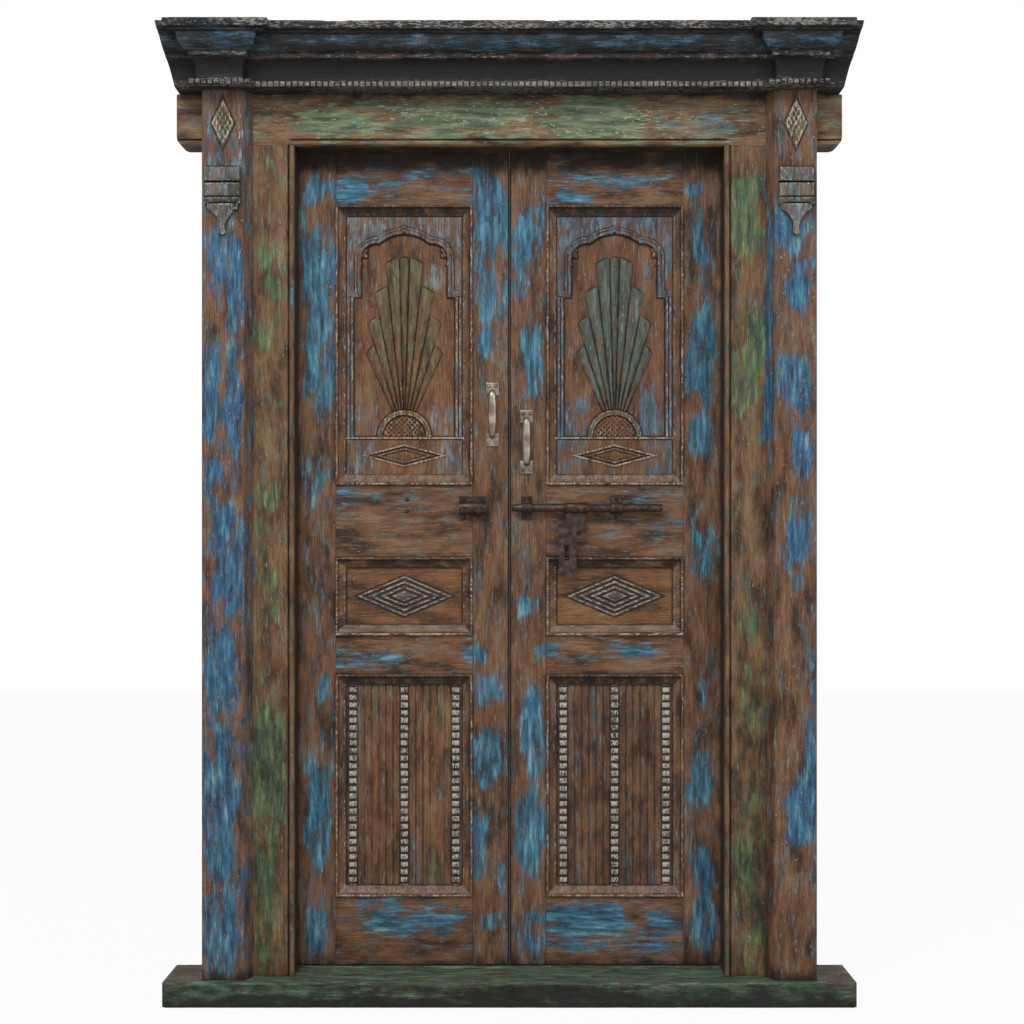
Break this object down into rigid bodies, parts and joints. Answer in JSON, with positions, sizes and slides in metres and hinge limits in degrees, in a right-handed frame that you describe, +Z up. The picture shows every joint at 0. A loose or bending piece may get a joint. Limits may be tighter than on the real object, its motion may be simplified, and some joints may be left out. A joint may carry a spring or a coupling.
{
  "type": "two-leaf carved door with frame",
  "caption": "Carved wooden double door in a moulded frame with pilasters and cornice, hung on steel hinges, with pull handles and a sliding bolt with a hasp.",
  "frame": {"origin": "on the floor under the sill, at mid width, in the plane of the frame's front face", "axes": "+X to the right seen from the front, +Y to the back, +Z up"},
  "size_m": [1.594, 0.2798, 2.236],
  "materials": {
    "blue_teak": "worn blue paint over teak",
    "brown_teak": "worn paint over teak",
    "green_teak": "worn green paint over teak",
    "dark_teak": "weathered dark teak",
    "carved_teak": "carved teak, worn paint",
    "dark_steel": "aged dark steel",
    "bright_steel": "worn nickel plate"
  },
  "bodies": {
    "frame": {"sill": "green_teak", "left_jamb": "brown_teak", "right_jamb": "brown_teak", "head": "brown_teak", "left_pilaster": "blue_teak", "right_pilaster": "blue_teak", "left_corbel": "blue_teak", "right_corbel": "blue_teak", "cornice": "dark_teak", "cornice_beads": "dark_teak", "left_capital": "dark_teak", "right_capital": "dark_teak", "left_frame_hinges": "dark_steel", "right_frame_hinges": "dark_steel", "left_hinge_pins": "dark_steel", "right_hinge_pins": "dark_steel"},
    "left_leaf": {"left_hinge_stile": "blue_teak", "left_meeting_stile": "blue_teak", "left_top_rail": "brown_teak", "left_lock_rail": "brown_teak", "left_middle_rail": "brown_teak", "left_bottom_rail": "brown_teak", "left_upper_panel": "carved_teak", "left_middle_panel": "carved_teak", "left_lower_panel": "carved_teak", "left_upper_moulding": "carved_teak", "left_middle_moulding": "carved_teak", "left_lower_moulding": "carved_teak", "left_bead_strips": "carved_teak", "left_handle": "bright_steel", "left_handle_screws": "bright_steel", "left_leaf_hinges": "dark_steel", "bolt_keeper": "dark_steel", "keeper_nails": "dark_steel", "rail_nails": "dark_steel"},
    "right_leaf": {"right_hinge_stile": "blue_teak", "right_meeting_stile": "blue_teak", "right_top_rail": "brown_teak", "right_lock_rail": "brown_teak", "right_middle_rail": "brown_teak", "right_bottom_rail": "brown_teak", "right_upper_panel": "carved_teak", "right_middle_panel": "carved_teak", "right_lower_panel": "carved_teak", "right_upper_moulding": "carved_teak", "right_middle_moulding": "carved_teak", "right_lower_moulding": "carved_teak", "right_bead_strips": "carved_teak", "right_handle": "bright_steel", "right_handle_screws": "bright_steel", "right_leaf_hinges": "dark_steel", "bolt_guides": "dark_steel", "guide_nails": "dark_steel"},
    "bolt_rod": {"bolt_rod": "dark_steel"},
    "bolt_hasp": {"bolt_hasp": "dark_steel"}
  },
  "joints": [
    {"name": "left_leaf_swing", "type": "hinge", "parent": "frame", "child": "left_leaf", "pos_m": [-0.514, 0.123, 0], "axis": [0, 0, 1], "range_deg": [0, 110]},
    {"name": "right_leaf_swing", "type": "hinge", "parent": "frame", "child": "right_leaf", "pos_m": [0.514, 0.123, 0], "axis": [0, 0, -1], "range_deg": [0, 110]},
    {"name": "bolt_slide", "type": "slide", "parent": "right_leaf", "child": "bolt_rod", "axis": [1, 0, 0], "range_m": [-0.07, 0]},
    {"name": "hasp_turn", "type": "hinge", "parent": "bolt_rod", "child": "bolt_hasp", "pos_m": [0.133, 0.0625, 1.146], "axis": [-1, 0, 0], "range_deg": [0, 95]}
  ]
}
